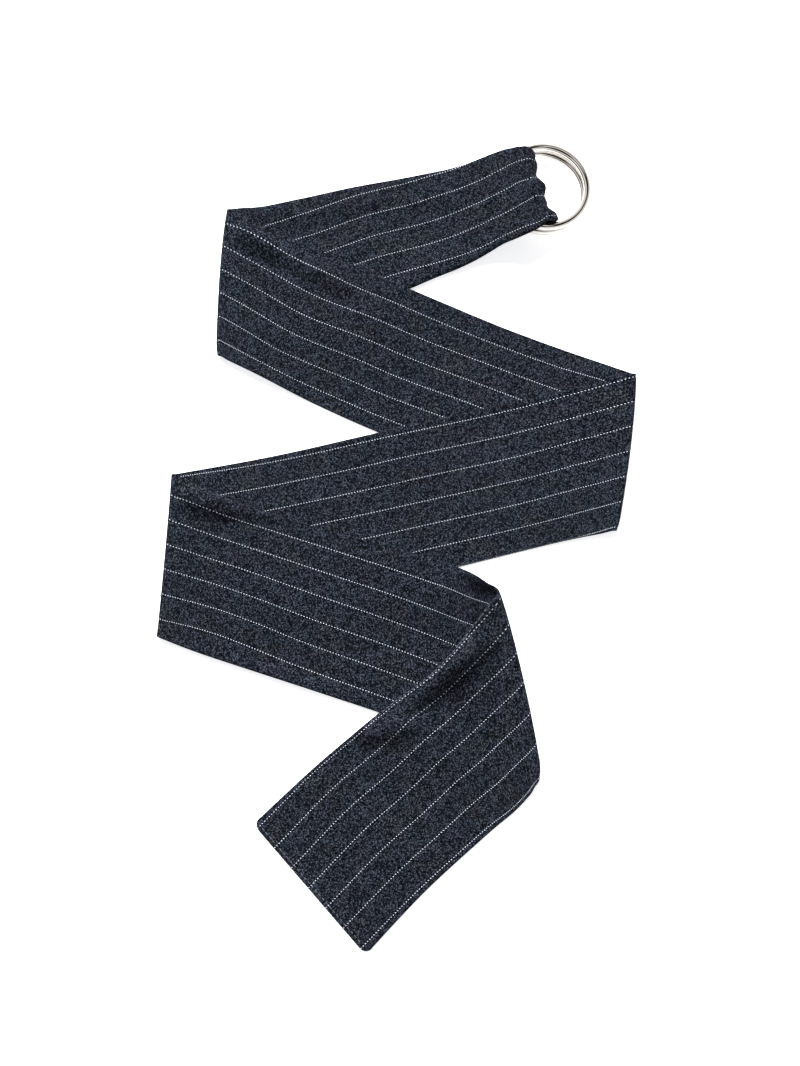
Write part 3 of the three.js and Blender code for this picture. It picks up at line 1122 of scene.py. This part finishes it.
@dataclass(frozen=True)
class FineScuffs:
    """Fine hairline scuffs and slow smudges on a polished surface."""

    detail: float = 6.0
    roughness: float = 0.7
    scuffs: tuple[float, float] = (0.55, 0.8)
    smudge_detail: float = 2.0
    smudge_scale: float = 0.12
    smudges: tuple[float, float] = (0.35, 0.75)

    def group(self) -> bpy.types.NodeTree:
        """Builds the shared effect.

        Returns:
            A group with a mask of the scuffs and a slow smudge mask.
        """
        group, tree, start, end = new_group(
            "fine_scuffs",
            {"Place": Socket.VECTOR, "Scale": Socket.VALUE},
            {"Scuff": Socket.VALUE, "Smudge": Socket.VALUE},
        )
        place, scale = start.outputs["Place"], start.outputs["Scale"]
        slow_scale = tree.maths("MULTIPLY", scale, self.smudge_scale)
        fine = tree.noise("3D", place, Scale=scale, Detail=self.detail, Roughness=self.roughness)
        slow = tree.noise("3D", place, Scale=slow_scale, Detail=self.smudge_detail)
        tree.link(tree.step(fine, *self.scuffs), end.inputs["Scuff"])
        tree.link(tree.step(slow, *self.smudges), end.inputs["Smudge"])
        return group


@dataclass(frozen=True)
class Suiting:
    """Dark blue-black twill with white dotted pinstripes. Lengths are in millimetres."""

    dark: Colour = (1, 2, 4)
    slate: Colour = (61, 68, 80)
    plum: Colour = (64, 66, 79)
    earth: Colour = (65, 68, 75)
    thread_dark: Colour = (18, 20, 25)
    thread_pale: Colour = (222, 230, 244)
    roughness: float = 0.95
    sheen: float = 0.01
    sheen_roughness: float = 0.5
    specular: float = 0.04
    yarn: float = 0.44
    pitch: float = 12.7
    first: float = 1.9
    dot_pitch: float = 1.5
    line_half_width: float = 0.145
    blotch: float = 20.0
    relief: float = 0.12
    relief_strength: float = 0.35

    def material(
        self, weave: bpy.types.NodeTree, stripe: bpy.types.NodeTree, dye: bpy.types.NodeTree
    ) -> bpy.types.Material:
        """The finished cloth.

        Args:
            weave: the twill group.
            stripe: the pinstripe group.
            dye: the group of slow colour changes.

        Returns:
            The material, which reads the cloth UV map.
        """
        made, tree, shader = new_material("suiting_cloth")
        place = tree.add("ShaderNodeUVMap", uv_map="cloth").outputs["UV"]
        where = tree.vector("MULTIPLY", place, (1 / MM,) * 3)
        cloth = tree.group(weave, Place=where, Thread=self.yarn)
        lines = tree.group(
            stripe,
            Place=where,
            First=self.first,
            Pitch=self.pitch,
            Dot_Pitch=self.dot_pitch,
            Half_Width=self.line_half_width,
        )
        tones = tree.group(dye, Place=where, Size=self.blotch)
        dyed = tree.between(tones.outputs["Plum"], srgb(*self.slate), srgb(*self.plum))
        dyed = tree.between(tones.outputs["Earth"], dyed, srgb(*self.earth))
        ground = tree.between(cloth.outputs["Pale"], srgb(*self.dark), dyed)
        thread = tree.between(lines.outputs["Dot"], srgb(*self.thread_dark), srgb(*self.thread_pale))
        height = tree.maths("ADD", cloth.outputs["Height"], lines.outputs["Dot"])
        bump = tree.add("ShaderNodeBump")
        tree.fill(bump, Strength=self.relief_strength, Distance=self.relief * MM, Height=height)
        tree.fill(
            shader,
            Base_Color=tree.between(lines.outputs["Line"], ground, thread),
            Roughness=self.roughness,
            Sheen_Weight=self.sheen,
            Sheen_Roughness=self.sheen_roughness,
            Specular_IOR_Level=self.specular,
            Normal=bump.outputs["Normal"],
        )
        return made


@dataclass(frozen=True)
class Nickel:
    """Polished nickel plate on steel wire."""

    colour: Colour = (221, 217, 212)
    smudged: Colour = (205, 200, 192)
    smudge_tint: float = 0.25
    smudge_dullness: float = 0.05
    roughness: float = 0.04
    scuffed: float = 0.22
    scuff_scale: float = 900.0

    def material(self, scuffs: bpy.types.NodeTree) -> bpy.types.Material:
        """The finished metal.

        Args:
            scuffs: the scuff group.

        Returns:
            The material, which reads Object coordinates.
        """
        made, tree, shader = new_material("polished_nickel")
        place = tree.add("ShaderNodeTexCoord").outputs["Object"]
        marks = tree.group(scuffs, Place=place, Scale=self.scuff_scale)
        smudge = marks.outputs["Smudge"]
        dull = tree.maths("MULTIPLY", marks.outputs["Scuff"], self.scuffed)
        rough = tree.maths("MULTIPLY_ADD", smudge, self.smudge_dullness, self.roughness)
        tint = tree.maths("MULTIPLY", smudge, self.smudge_tint)
        tone = tree.between(tint, srgb(*self.colour), srgb(*self.smudged))
        tree.fill(shader, Base_Color=tone, Roughness=tree.maths("ADD", rough, dull), Metallic=1.0)
        return made


@dataclass(frozen=True)
class SewingThread:
    """Polyester sewing thread, a little paler than the cloth."""

    colour: Colour = (128, 130, 140)
    shaded: float = 0.6
    roughness: float = 0.6
    twist_scale: float = 1500.0

    def material(self) -> bpy.types.Material:
        """The finished thread.

        Returns:
            The material, which reads Object coordinates.
        """
        made, tree, shader = new_material("sewing_thread")
        place = tree.add("ShaderNodeTexCoord").outputs["Object"]
        twist = tree.noise("3D", place, Scale=self.twist_scale)
        dark = srgb(*(value * self.shaded for value in self.colour))
        tone = tree.between(twist, dark, srgb(*self.colour))
        tree.fill(shader, Base_Color=tone, Roughness=self.roughness)
        return made


def finish(piece: bpy.types.Object, material: bpy.types.Material) -> None:
    """Gives a piece its finish and fixes it to the part's one body.

    Args:
        piece: the finished object.
        material: its material.
    """
    piece.data.materials.append(material)
    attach(piece, "root")
    log.info("%s: %d faces", piece.name, len(piece.data.polygons))


@dataclass
class BeltBand:
    """The strip of suiting: a tube pressed flat to two plies, with its loop, folds and free end."""

    lay: BeltLay
    face_columns: int = 44
    curl_columns: int = 7
    curl_margin: float = 0.9
    rim_steps: int = 5
    seam_depth: float = 0.12
    seam_width: float = 0.35
    taken_up: float = 1.8
    grid_half: float = 0.5
    weld: float = 0.00001

    def face_lengths(self, station: Station) -> list[float]:
        """Lengths of cloth from edge u at which one face of a station has its columns.

        Args:
            station: the line across the strip.

        Returns:
            The lengths in millimetres.
        """
        rim = self.lay.cloth / 2
        curl = math.pi * self.lay.curl_radius
        near = max(station.tuck_u, curl + self.curl_margin)
        far = self.lay.width - max(station.tuck_v, curl + self.curl_margin)
        turn = [curl * step / self.curl_columns for step in range(self.curl_columns + 1)]
        start = [rim, mix(rim, near - curl, 0.5)] + [near - curl + past for past in turn]
        last = self.lay.width - rim
        end = [far + past for past in turn] + [mix(far + curl, last, 0.5), last]
        inner = self.face_columns - len(start) - len(end)
        flat = [mix(near, far, step / (inner + 1)) for step in range(1, inner + 1)]
        scale = (self.lay.width - 2 * station.drawn) / self.lay.width
        return [station.drawn + length * scale for length in start + flat + end]

    def surfaces(self) -> tuple[np.ndarray, ...]:
        """Works out the middle of the cloth over all stations.

        Returns:
            The middle points, the directions square to them, the directions across, the cloth lengths,
            and how far the creases of both edges lie from the seam and from the middle line of the tube.
        """
        stations = self.lay.stations()
        lengths = [self.face_lengths(station) for station in stations]
        middle = np.array(
            [[self.lay.cloth_point(s, length) for length in row] for s, row in zip(stations, lengths)]
        )
        along = np.gradient(middle, axis=0)
        across = np.gradient(middle, axis=1)
        square = np.cross(along, across)
        square /= np.linalg.norm(square, axis=2, keepdims=True)
        across /= np.linalg.norm(across, axis=2, keepdims=True)
        creases = [(station.crease_u, station.crease_v) for station in stations]
        return middle, square, across, np.array(lengths), np.array(creases)

    def wrapped(self) -> tuple[np.ndarray, np.ndarray]:
        """The outer skin of the cloth: each station is a closed round of both faces and both rims.

        Returns:
            The points, and the cloth coordinates along and round the strip, in millimetres.
        """
        middle, square, across, lengths, creases = self.surfaces()
        width, half = self.lay.width, self.lay.cloth / 2
        share = np.arange(1, self.rim_steps + 1) / (self.rim_steps + 1)
        turn = math.pi * share[:, None]
        seam = 1 - self.seam_depth * np.exp(-(((turn - math.pi / 2) / self.seam_width) ** 2))
        front, back = middle + square * half, middle - square * half
        far_rim = across[:, -1:] * np.sin(turn) + square[:, -1:] * np.cos(turn)
        near_rim = across[:, :1] * np.sin(turn) + square[:, :1] * np.cos(turn)
        rounds = [
            front,
            middle[:, -1:] + far_rim * half,
            back[:, ::-1],
            middle[:, :1] - near_rim * half * seam,
            front[:, :1],
        ]

        near, far = creases[:, :1], creases[:, 1:]
        rim_length = math.pi * half
        front_end = width + far - half
        back_start = front_end + rim_length + self.taken_up
        back_end = 2 * width - 3 * half + rim_length + self.taken_up + near
        back_share = (lengths - half) / (width - 2 * half)
        around = [
            near + lengths * (width + far - near) / width,
            front_end + (rim_length + self.taken_up) * share,
            (back_end + (back_start - back_end) * back_share)[:, ::-1],
            back_end + rim_length * share,
            back_end + rim_length,
        ]
        across_cloth = np.concatenate(around, axis=1)
        walked = np.linalg.norm(np.diff(middle[:, middle.shape[1] // 2], axis=0), axis=1)
        along_cloth = np.concatenate([[0.0], np.cumsum(walked)])[:, None] + 0 * across_cloth
        return np.concatenate(rounds, axis=1), np.stack([along_cloth, across_cloth], axis=2)

    def build(self) -> bpy.types.Object:
        """Makes the band from one grid that is wrapped round the cloth and closed.

        Returns:
            The finished object.
        """
        points, coordinates = self.wrapped()
        rows, columns = points.shape[:2]
        work = bmesh.new()
        cloth_map = work.loops.layers.uv.new("cloth")
        bmesh.ops.create_grid(work, x_segments=columns - 1, y_segments=rows - 1, size=self.grid_half)
        places = {}
        for vert in work.verts:
            column = round((vert.co.x + self.grid_half) * (columns - 1))
            row = round((vert.co.y + self.grid_half) * (rows - 1))
            places[vert] = (row, column)
        for face in work.faces:
            for loop in face.loops:
                loop[cloth_map].uv = coordinates[places[loop.vert]] * MM
        shift = Vector((-self.lay.centre.x, -self.lay.centre.y, 0.0))
        for vert, place in places.items():
            vert.co = (Vector(points[place]) + shift) * MM
        bmesh.ops.remove_doubles(work, verts=work.verts, dist=self.weld * MM)
        self.close_ends(work)
        bmesh.ops.recalc_face_normals(work, faces=work.faces)
        return finished("striped_band", work)

    def dress(self, band: bpy.types.Object, cloth: bpy.types.Material) -> None:
        """Puts the cloth on the band, which stands for the solid of the same form."""
        finish(band, cloth)
        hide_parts("belt_band")

    @staticmethod
    def close_ends(work: bmesh.types.BMesh) -> None:
        """Closes the two open ends of the wrapped tube.

        Args:
            work: the mesh being made.
        """
        open_edges = [edge for edge in work.edges if edge.is_boundary]
        made = bmesh.ops.holes_fill(work, edges=open_edges, sides=0)
        bmesh.ops.triangulate(work, faces=made["faces"])


@dataclass
class EdgeStitches:
    """The fine topstitches along the start of edge u of the last run, and across the free end."""

    lay: BeltLay
    inset_edge: float = 1.0
    inset_end: float = 2.0
    edge_length: float = 66.0
    pitch: float = 2.6
    length: float = 1.8
    thickness: float = 0.3
    rise: float = 0.68
    end_points: int = 30
    grain_sides: int = 8
    grain_rings: int = 6

    def paths(self) -> list[list[Vector]]:
        """The lines of the stitches along the middle of the cloth, in millimetres.

        Returns:
            One path along edge u and one across the free end.
        """
        lay = self.lay
        own = lay.run_stations(len(lay.runs) - 1)
        last = own[-1]
        along = [lay.cloth_point(s, self.inset_edge) for s in own if s.travelled < self.edge_length]
        shift = (own[-3].u - last.u).normalized() * self.inset_end
        end = replace(last, u=last.u + shift, v=last.v + shift, remaining=self.inset_end)
        ends = (lay.corner_radius, lay.width - lay.corner_radius)
        shares = [step / self.end_points for step in range(self.end_points + 1)]
        across = [lay.cloth_point(end, mix(*ends, share)) for share in shares]
        return [along, across]

    def build(self) -> bpy.types.Object:
        """Makes every stitch as a small rounded grain of thread.

        Returns:
            All stitches as one object.
        """
        work = bmesh.new()
        for path in self.paths():
            self.sew(work, path)
        return finished("edge_stitches", work)

    def dress(self, stitches: bpy.types.Object, thread: bpy.types.Material) -> None:
        """Gives the stitches their thread."""
        finish(stitches, thread)

    def sew(self, work: bmesh.types.BMesh, path: list[Vector]) -> None:
        """Adds evenly spaced stitches along a path.

        Args:
            work: the mesh being made.
            path: points in the middle of the cloth.
        """
        reach = [0.0]
        for start, end in zip(path, path[1:]):
            reach.append(reach[-1] + (end - start).length)
        centre = Vector((self.lay.centre.x, self.lay.centre.y, -self.rise))
        size = Matrix.Diagonal((self.length / 2, self.thickness / 2, self.thickness / 2, 1.0))
        for step in range(int(reach[-1] / self.pitch)):
            walked = (step + 0.5) * self.pitch
            index = next(i for i, total in enumerate(reach) if total > walked) - 1
            along = path[index + 1] - path[index]
            place = path[index] + along.normalized() * (walked - reach[index]) - centre
            turned = along.to_track_quat("X", "Z").to_matrix().to_4x4()
            matrix = Matrix.Scale(MM, 4) @ Matrix.Translation(place) @ turned @ size
            bmesh.ops.create_uvsphere(
                work, u_segments=self.grain_sides, v_segments=self.grain_rings, radius=1.0, matrix=matrix
            )


@dataclass
class RingPair:
    """Two plain rings that lie in the loop, one on the other."""

    lay: BeltLay
    outer_diameter: float = 50.4
    wire: float = 4.0
    tilt: float = 4.5
    spread: float = 1.5
    spacing: float = 4.9
    lower: Vector = field(default_factory=lambda: Vector((77.6, 188.7)))
    upper: Vector = field(default_factory=lambda: Vector((78.8, 189.1)))
    segments: int = 160
    wire_sides: int = 32
    weld: float = 0.001

    def ring(self, name: str, centre: Vector, stacked: float, spread: float) -> bpy.types.Object:
        """Makes one ring by turning the round section of its wire about the ring's axis.

        Args:
            name: name of the piece.
            centre: its middle in plan.
            stacked: how far it lies above the lower ring.
            spread: its own lean in degrees.

        Returns:
            The finished object.
        """
        radius = (self.outer_diameter - self.wire) / 2
        tilt = math.radians(self.tilt)
        height = self.wire / 2 / math.cos(tilt) + radius * math.sin(tilt) + stacked
        turned = (
            Matrix.Translation((centre.x - self.lay.centre.x, centre.y - self.lay.centre.y, height))
            @ Matrix.Rotation(math.radians(self.lay.loop_heading), 4, "Z")
            @ Matrix.Rotation(tilt, 4, "Y")
            @ Matrix.Rotation(math.radians(spread), 4, "X")
        )
        work = bmesh.new()
        section = bmesh.ops.create_circle(work, segments=self.wire_sides, radius=self.wire / 2)
        stand = Matrix.Translation((radius, 0, 0)) @ Matrix.Rotation(math.pi / 2, 4, "X")
        bmesh.ops.transform(work, matrix=stand, verts=section["verts"])
        bmesh.ops.spin(
            work,
            geom=work.verts[:] + work.edges[:],
            cent=(0, 0, 0),
            axis=(0, 0, 1),
            dvec=(0, 0, 0),
            angle=2 * math.pi,
            steps=self.segments,
            use_merge=True,
            use_duplicate=False,
        )
        bmesh.ops.remove_doubles(work, verts=work.verts, dist=self.weld)
        bmesh.ops.recalc_face_normals(work, faces=work.faces)
        bmesh.ops.transform(work, matrix=Matrix.Scale(MM, 4) @ turned, verts=work.verts)
        return finished(name, work)

    def build(self) -> dict[str, bpy.types.Object]:
        """Makes both rings, by the name of the node that each stands for.

        Returns:
            The finished rings.
        """
        return {
            "ring_lower": self.ring("polished_ring_lower", self.lower, 0.0, 0.0),
            "ring_upper": self.ring("polished_ring_upper", self.upper, self.spacing, self.spread),
        }

    def dress(self, rings: dict[str, bpy.types.Object], nickel: bpy.types.Material) -> None:
        """Plates the rings, each of which stands for a solid.

        Args:
            rings: the rings, by the name of the node that each stands for.
            nickel: their material.
        """
        for node, ring in rings.items():
            finish(ring, nickel)
            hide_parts(node)


@dataclass(frozen=True)
class SoftLamp:
    """A square soft light: its place and side in metres, and its power in watts."""

    name: str
    place: tuple[float, float, float]
    size: float
    power: float

    def hang(self) -> None:
        """Adds the lamp to the scene, facing the belt."""
        light = bpy.data.lights.new(self.name, "AREA")
        light.shape = "SQUARE"
        light.size = self.size
        light.energy = self.power
        lamp = bpy.data.objects.new(self.name, light)
        lamp.location = self.place
        lamp.visible_glossy = False
        lamp.rotation_euler = Vector(self.place).to_track_quat("Z", "Y").to_euler()
        bpy.context.scene.collection.objects.link(lamp)


@dataclass(frozen=True)
class PaleFloor:
    """A matt, nearly white floor with a glow of its own."""

    colour: Colour = (0.93, 0.93, 0.935)
    roughness: float = 0.9
    specular: float = 0.2
    glow_colour: Colour = (0.97, 0.98, 1.0)
    glow: float = 0.7
    half_side: float = 3.0

    def build(self) -> bpy.types.Object:
        """Makes the floor, which belongs to the stage and not to the part.

        Returns:
            The finished object.
        """
        work = bmesh.new()
        bmesh.ops.create_grid(work, x_segments=1, y_segments=1, size=self.half_side)
        floor = finished("floor", work)
        made, tree, shader = new_material("pale_floor")
        tree.fill(
            shader,
            Base_Color=(*self.colour, 1.0),
            Roughness=self.roughness,
            Specular_IOR_Level=self.specular,
            Emission_Color=(*self.glow_colour, 1.0),
            Emission_Strength=self.glow,
        )
        floor.data.materials.append(made)
        return floor


@dataclass(frozen=True)
class Surround:
    """The pale room that the rings mirror, with a dark patch and a dark band overhead."""

    strength: float = 0.8
    diffuse_share: float = 0.36
    low_walls: Colour = (1.45, 1.42, 1.39)
    high_walls: Colour = (1.06, 1.03, 1.01)
    dark: Colour = (0.01, 0.01, 0.012)
    walls_end: tuple[float, float] = (0.3, 0.5)
    patch_heading: tuple[float, float, float] = (-0.14, -0.48, 0.866)
    patch_edge: tuple[float, float] = (0.9, 0.92)
    band_start: tuple[float, float] = (0.78, 0.8)
    band_end: tuple[float, float] = (0.92, 0.95)

    def build(self) -> None:
        """Makes the world, at full strength in mirrors and weaker as light."""
        world = bpy.data.worlds.new("studio")
        world.use_nodes = True
        tree = ShaderTree(world.node_tree)
        background = world.node_tree.nodes["Background"]
        place = tree.add("ShaderNodeTexCoord").outputs["Generated"]
        height = tree.parts(place)["Z"]
        towards = tree.add("ShaderNodeVectorMath", operation="DOT_PRODUCT")
        tree.link(place, towards.inputs[0])
        towards.inputs[1].default_value = self.patch_heading
        patch = tree.step(towards.outputs["Value"], *self.patch_edge)
        below = tree.maths("SUBTRACT", 1.0, tree.step(height, *self.band_end))
        band = tree.maths("MULTIPLY", tree.step(height, *self.band_start), below)
        raised = tree.step(height, *self.walls_end)
        walls = tree.between(raised, (*self.low_walls, 1.0), (*self.high_walls, 1.0))
        room = tree.between(tree.maths("MAXIMUM", patch, band), walls, (*self.dark, 1.0))
        tree.link(room, background.inputs["Color"])
        mirrored = tree.add("ShaderNodeLightPath").outputs["Is Glossy Ray"]
        even = self.strength * self.diffuse_share
        power = tree.maths("MULTIPLY_ADD", mirrored, self.strength - even, even)
        tree.link(power, background.inputs["Strength"])
        bpy.context.scene.world = world
        bpy.context.scene.view_settings.view_transform = "Standard"


@dataclass
class Studio:
    """A plain pale floor, soft light from above and the camera at the photograph's angle."""

    floor: PaleFloor = PaleFloor()
    surround: Surround = Surround()
    lamps: tuple[SoftLamp, ...] = (
        SoftLamp("window_light", (-1.2, 3.6, 3.12), 2.4, 750.0),
        SoftLamp("front_fill", (0.8, -1.4, 1.4), 2.5, 10.0),
    )
    focal_pixels: float = 1000.0
    image_height: float = 1066.0
    sensor: float = 36.0
    pitch: float = 10.0
    height: float = 510.0
    nearest: float = 0.01

    def camera(self) -> None:
        """The camera, nearly overhead and tipped a little towards the rings."""
        tilt = math.radians(self.pitch)
        across, away = PLAN_CENTRE
        data = bpy.data.cameras.new("photo_camera")
        data.sensor_width = self.sensor
        data.lens = self.focal_pixels / self.image_height * self.sensor
        data.clip_start = self.nearest
        camera = bpy.data.objects.new("photo_camera", data)
        camera.location = Vector((-across, -self.height * math.tan(tilt) - away, self.height)) * MM
        camera.rotation_euler = (tilt, 0.0, 0.0)
        bpy.context.scene.collection.objects.link(camera)
        bpy.context.scene.camera = camera

    def build(self) -> None:
        """Sets up the whole studio."""
        self.floor.build()
        for lamp in self.lamps:
            lamp.hang()
        self.surround.build()
        self.camera()


def main() -> None:
    """Builds the studio, the band and the rings in order."""
    logging.basicConfig(level=logging.INFO, format="%(name)s: %(message)s")
    Studio().build()
    lay = BeltLay()
    weave, stripe, dye = TwillWeave().group(), DottedPinstripe().group(), UnevenDye().group()

    strip = BeltBand(lay)
    band = strip.build()
    strip.dress(band, Suiting().material(weave, stripe, dye))
    stitching = EdgeStitches(lay)
    stitches = stitching.build()
    stitching.dress(stitches, SewingThread().material())

    pair = RingPair(lay)
    nickel = Nickel().material(FineScuffs().group())
    pair.dress(pair.build(), nickel)


if __name__ == "__main__":
    main()
